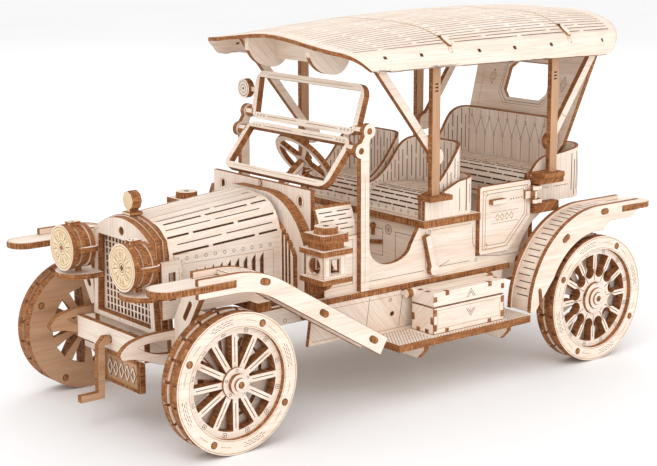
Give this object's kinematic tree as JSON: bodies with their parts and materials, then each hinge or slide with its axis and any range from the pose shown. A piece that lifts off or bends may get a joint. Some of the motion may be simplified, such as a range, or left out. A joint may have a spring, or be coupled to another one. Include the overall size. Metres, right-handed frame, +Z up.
{
  "type": "wooden 3-D jigsaw model car",
  "caption": "Laser-cut plywood model of a vintage open touring car with a roof on posts, spoked wheels that turn and steer, folding windscreen, opening doors, toolbox and starting crank.",
  "frame": {"origin": "on the ground under the middle of the car's length and width", "axes": "+X forwards towards the starting crank, +Y to the car's left, +Z up"},
  "size_m": [0.3176, 0.1476, 0.1834],
  "materials": {
    "birch_ply": "matte"
  },
  "bodies": {
    "chassis": {"aprons": "birch_ply", "axle_hangers": "birch_ply", "board_brackets": "birch_ply", "body_sides": "birch_ply", "bonnet": "birch_ply", "chassis_cross_boards": "birch_ply", "chassis_rails": "birch_ply", "cowl_panels": "birch_ply", "fender_stays": "birch_ply", "firewall": "birch_ply", "floor_board": "birch_ply", "front_axle_beam": "birch_ply", "front_fender_plates": "birch_ply", "front_fender_sheets": "birch_ply", "front_fender_tongues": "birch_ply", "front_seats": "birch_ply", "headlamps": "birch_ply", "lanterns": "birch_ply", "number_plate": "birch_ply", "radiator_cap": "birch_ply", "radiator_grille": "birch_ply", "radiator_shell": "birch_ply", "rear_fender_plates": "birch_ply", "rear_fender_sheets": "birch_ply", "rear_fender_tongues": "birch_ply", "rear_seat": "birch_ply", "rear_tub": "birch_ply", "rear_wall": "birch_ply", "roof_braces": "birch_ply", "roof_formers": "birch_ply", "roof_posts": "birch_ply", "roof_sheet": "birch_ply", "running_boards": "birch_ply", "scuttle_board": "birch_ply", "seat_board": "birch_ply", "seat_cushions": "birch_ply", "sill_rails": "birch_ply", "steering_column": "birch_ply", "toolbox": "birch_ply", "toolbox_pins": "birch_ply", "windscreen_posts": "birch_ply"},
    "steering_knuckle_left": {"steering_knuckle_left": "birch_ply"},
    "steering_knuckle_right": {"steering_knuckle_right": "birch_ply"},
    "front_wheel_left": {"front_tyre_left": "birch_ply", "front_spokes_left": "birch_ply"},
    "front_wheel_right": {"front_tyre_right": "birch_ply", "front_spokes_right": "birch_ply"},
    "rear_wheels": {"rear_axle": "birch_ply", "rear_tyre_left": "birch_ply", "rear_tyre_right": "birch_ply", "rear_spokes_left": "birch_ply", "rear_spokes_right": "birch_ply"},
    "steering_wheel": {"steering_wheel": "birch_ply"},
    "starting_crank": {"starting_crank": "birch_ply"},
    "windscreen_lower_frame": {"windscreen_lower_frame": "birch_ply"},
    "windscreen_upper_frame": {"windscreen_upper_frame": "birch_ply"},
    "rear_door_left": {"rear_door_left": "birch_ply"},
    "rear_door_right": {"rear_door_right": "birch_ply"},
    "toolbox_lid": {"toolbox_lid": "birch_ply"},
    "brake_lever": {"brake_lever": "birch_ply"}
  },
  "joints": [
    {"name": "steer_left", "type": "hinge", "parent": "chassis", "child": "steering_knuckle_left", "pos_m": [0.119, 0.05, 0.0325], "axis": [0, 0, 1], "range_deg": [-18, 18]},
    {"name": "front_wheel_left_spin", "type": "hinge", "parent": "steering_knuckle_left", "child": "front_wheel_left", "pos_m": [0.119, 0.065, 0.0325], "axis": [0, 1, 0], "continuous": true},
    {"name": "steer_right", "type": "hinge", "parent": "chassis", "child": "steering_knuckle_right", "pos_m": [0.119, -0.05, 0.0325], "axis": [0, 0, 1], "range_deg": [-18, 18]},
    {"name": "front_wheel_right_spin", "type": "hinge", "parent": "steering_knuckle_right", "child": "front_wheel_right", "pos_m": [0.119, -0.065, 0.0325], "axis": [0, 1, 0], "continuous": true},
    {"name": "rear_wheels_spin", "type": "hinge", "parent": "chassis", "child": "rear_wheels", "pos_m": [-0.1147, 0, 0.0336], "axis": [0, 1, 0], "continuous": true},
    {"name": "steering_wheel_turn", "type": "hinge", "parent": "chassis", "child": "steering_wheel", "pos_m": [0.008, -0.0236, 0.109], "axis": [-0.788, 0, 0.6157], "range_deg": [-95, 95]},
    {"name": "starting_crank_turn", "type": "hinge", "parent": "chassis", "child": "starting_crank", "pos_m": [0.14, 0, 0.0415], "axis": [1, 0, 0], "continuous": true},
    {"name": "windscreen_lower_tilt", "type": "hinge", "parent": "chassis", "child": "windscreen_lower_frame", "pos_m": [0.0307, 0, 0.1247], "axis": [0, -1, 0], "range_deg": [0, 45]},
    {"name": "windscreen_upper_fold", "type": "hinge", "parent": "chassis", "child": "windscreen_upper_frame", "pos_m": [0.0256, 0, 0.1337], "axis": [0, 1, 0], "range_deg": [0, 85]},
    {"name": "rear_door_left_swing", "type": "hinge", "parent": "chassis", "child": "rear_door_left", "pos_m": [-0.085, 0.052, 0.09], "axis": [0, 0, 1], "range_deg": [0, 35]},
    {"name": "rear_door_right_swing", "type": "hinge", "parent": "chassis", "child": "rear_door_right", "pos_m": [-0.085, -0.052, 0.09], "axis": [0, 0, -1], "range_deg": [0, 35]},
    {"name": "toolbox_lid_open", "type": "hinge", "parent": "chassis", "child": "toolbox_lid", "pos_m": [-0.0246, 0.0528, 0.0516], "axis": [1, 0, 0], "range_deg": [0, 60]},
    {"name": "brake_lever_pull", "type": "hinge", "parent": "chassis", "child": "brake_lever", "pos_m": [-0.017, 0.048, 0.06], "axis": [0, 1, 0], "range_deg": [-35, 12]}
  ],
  "couplings": [
    {"joint": "steer_right", "follows": "steer_left", "ratio": 1},
    {"joint": "steering_wheel_turn", "follows": "steer_left", "ratio": 5}
  ]
}
